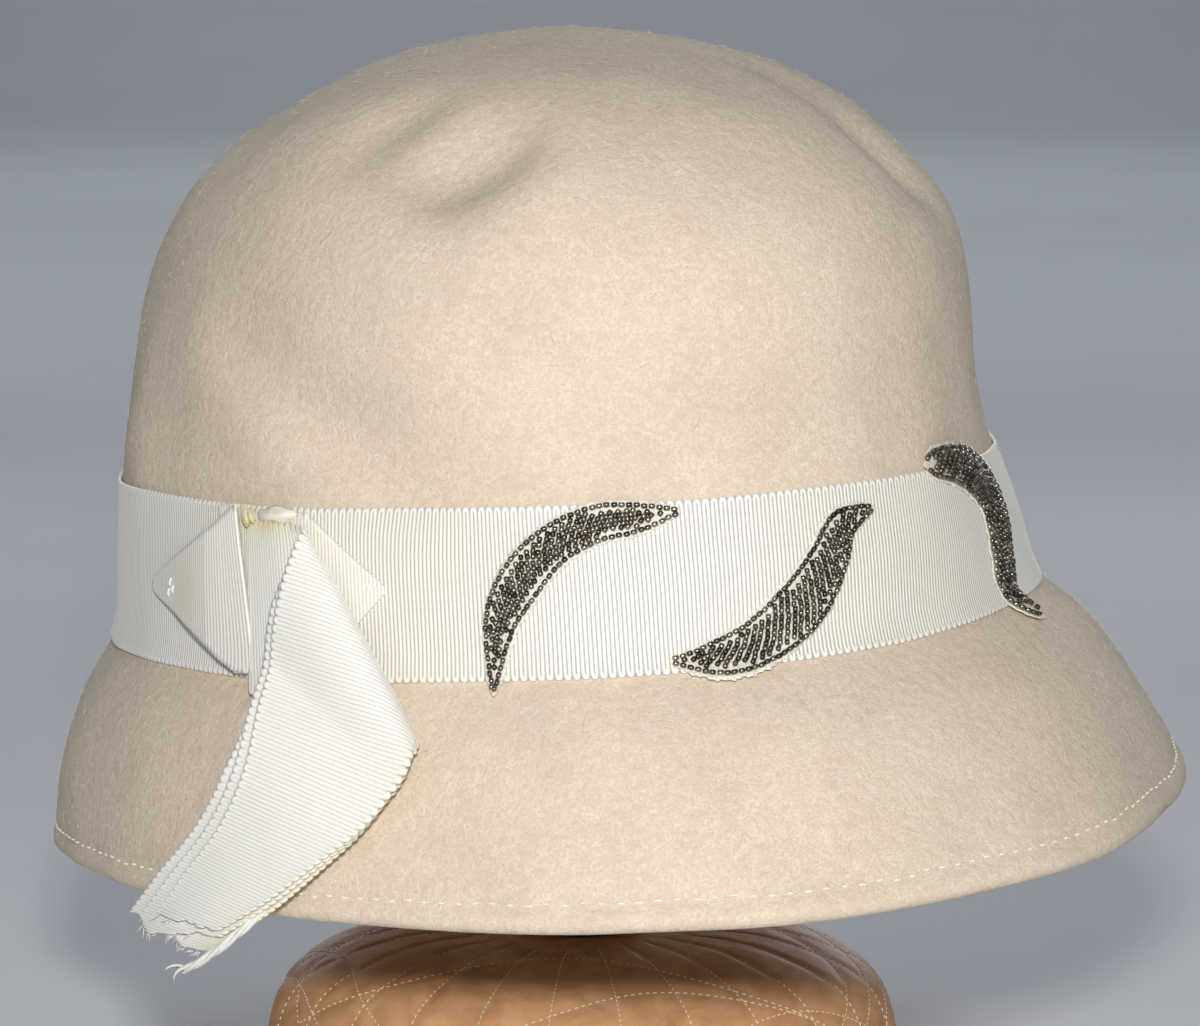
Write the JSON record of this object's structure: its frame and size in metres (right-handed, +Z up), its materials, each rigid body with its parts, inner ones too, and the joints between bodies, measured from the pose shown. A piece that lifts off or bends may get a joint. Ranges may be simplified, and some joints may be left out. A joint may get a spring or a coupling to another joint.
{
  "type": "fedora hat on a stand",
  "caption": "Cream felt hat with a round dented crown and down-turned brim, ribbed ribbon band, folded ribbon bow and beaded leaf trims, resting on a padded stand.",
  "frame": {"origin": "middle of the stand base's flat underside", "axes": "+Z up, the hat's front towards -Y, its bow on the -X side"},
  "size_m": [0.2222, 0.2472, 0.2167],
  "materials": {
    "felt": "blocked wool felt, matt, short nap",
    "ribbon": "ivory ribbed ribbon with looped edges, soft sheen",
    "beads": "faceted grey metal seed beads sewn in rows on white net",
    "post_wood": "turned and varnished",
    "base_satin": "tan satin, padded and topstitched"
  },
  "bodies": {
    "root": {"felt_body": "felt", "hat_band": "ribbon", "bow_loop": "ribbon", "bow_tab": "ribbon", "bow_tail": "ribbon", "tail_middle": "ribbon", "tail_under": "ribbon", "bead_leaf_front": "beads", "bead_leaf_middle": "beads", "bead_leaf_side": "beads", "stand_post": "post_wood", "stand_base": "base_satin"}
  },
  "joints": []
}
